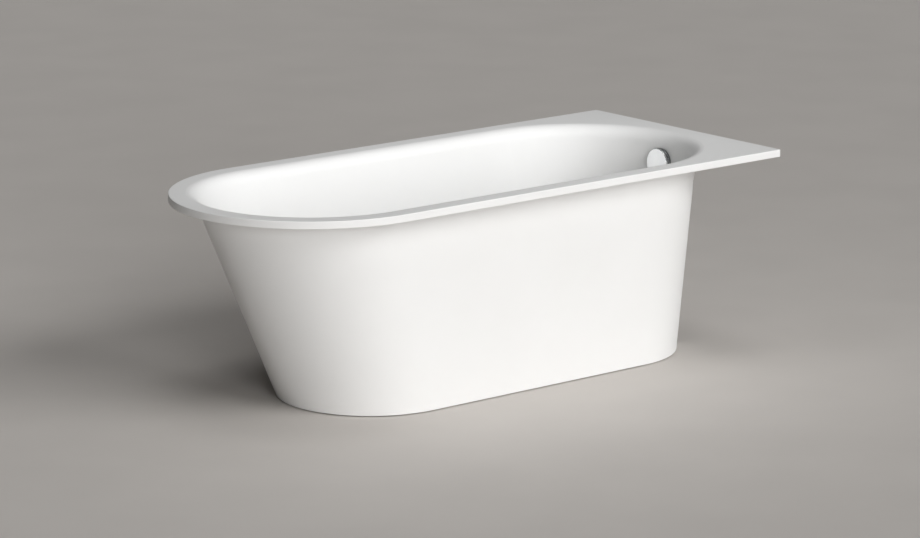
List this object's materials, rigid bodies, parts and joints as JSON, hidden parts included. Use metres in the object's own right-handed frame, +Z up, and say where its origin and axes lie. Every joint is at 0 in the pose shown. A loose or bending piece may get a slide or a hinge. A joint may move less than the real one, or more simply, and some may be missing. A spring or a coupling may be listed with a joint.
{
  "type": "freestanding bathtub",
  "caption": "Freestanding stone resin bath with a wide flat rim, rounded at the head and square at the wall end, on a straight tapered skirt, with a round chrome overflow knob.",
  "frame": {"origin": "on the floor under the middle of the rim", "axes": "+X along the bath towards the square foot end with the waste and overflow, +Y towards the side wall, +Z up"},
  "size_m": [1.65, 0.75, 0.56],
  "materials": {
    "stone_resin": "matt white cast stone resin, silky to the touch",
    "chrome": "polished chrome plate on brass",
    "zinc_steel": "bright zinc plate",
    "stainless": "plain stainless steel",
    "plywood": "birch plywood, sealed",
    "white_plastic": "moulded polypropylene, satin",
    "black_plastic": "moulded nylon, matt",
    "black_rubber": "soft seal rubber"
  },
  "bodies": {
    "bath": {"basin": "stone_resin", "skirt": "stone_resin", "head_board": "plywood", "head_rail": "zinc_steel", "foot_board": "plywood", "foot_rail": "zinc_steel", "weld_nuts": "zinc_steel", "lock_nuts": "zinc_steel", "rail_screws": "zinc_steel", "waste_flange": "chrome", "waste_flange_seal": "black_rubber", "waste_body_seal": "black_rubber", "waste_body": "white_plastic", "trap_cup": "white_plastic", "trap_lid": "white_plastic", "trap_nut": "white_plastic", "outlet_coupling": "white_plastic", "outlet_pipe": "white_plastic", "pipe_nut_bottom": "white_plastic", "overflow_elbow_seal": "black_rubber", "overflow_elbow": "white_plastic", "overflow_trim_seal": "black_rubber", "overflow_trim": "chrome", "overflow_screws": "stainless", "overflow_pipe": "white_plastic", "pipe_nut_top": "white_plastic", "control_cable": "black_plastic", "control_wire": "stainless"},
    "knob": {"overflow_knob": "chrome", "knob_spindle": "stainless", "cable_drum": "black_plastic"},
    "plug": {"waste_plug": "chrome", "plug_seal": "black_rubber"},
    "lever": {"lift_lever": "black_plastic", "lever_axle": "stainless", "lever_crank": "black_plastic"},
    "head_near_foot": {"head_near_rod": "zinc_steel", "head_near_pad": "black_plastic"},
    "head_far_foot": {"head_far_rod": "zinc_steel", "head_far_pad": "black_plastic"},
    "foot_near_foot": {"foot_near_rod": "zinc_steel", "foot_near_pad": "black_plastic"},
    "foot_far_foot": {"foot_far_rod": "zinc_steel", "foot_far_pad": "black_plastic"}
  },
  "joints": [
    {"name": "knob_turn", "type": "hinge", "parent": "bath", "child": "knob", "pos_m": [0.73309, 0, 0.4775], "axis": [0.9981, 0, -0.061], "range_deg": [0, 90]},
    {"name": "plug_lift", "type": "slide", "parent": "bath", "child": "plug", "axis": [0, 0, 1], "range_m": [0, 0.0081]},
    {"name": "lever_turn", "type": "hinge", "parent": "bath", "child": "lever", "pos_m": [0.52746, 0, 0.08545], "axis": [0, -1, 0], "range_deg": [0, 26]},
    {"name": "head_near_height", "type": "slide", "parent": "bath", "child": "head_near_foot", "axis": [0, 0, -1], "range_m": [-0.003, 0.012]},
    {"name": "head_far_height", "type": "slide", "parent": "bath", "child": "head_far_foot", "axis": [0, 0, -1], "range_m": [-0.003, 0.012]},
    {"name": "foot_near_height", "type": "slide", "parent": "bath", "child": "foot_near_foot", "axis": [0, 0, -1], "range_m": [-0.003, 0.012]},
    {"name": "foot_far_height", "type": "slide", "parent": "bath", "child": "foot_far_foot", "axis": [0, 0, -1], "range_m": [-0.003, 0.012]}
  ],
  "couplings": [
    {"joint": "plug_lift", "follows": "knob_turn", "m_per_rad": 0.005155},
    {"joint": "lever_turn", "follows": "knob_turn", "ratio": 0.28889}
  ]
}
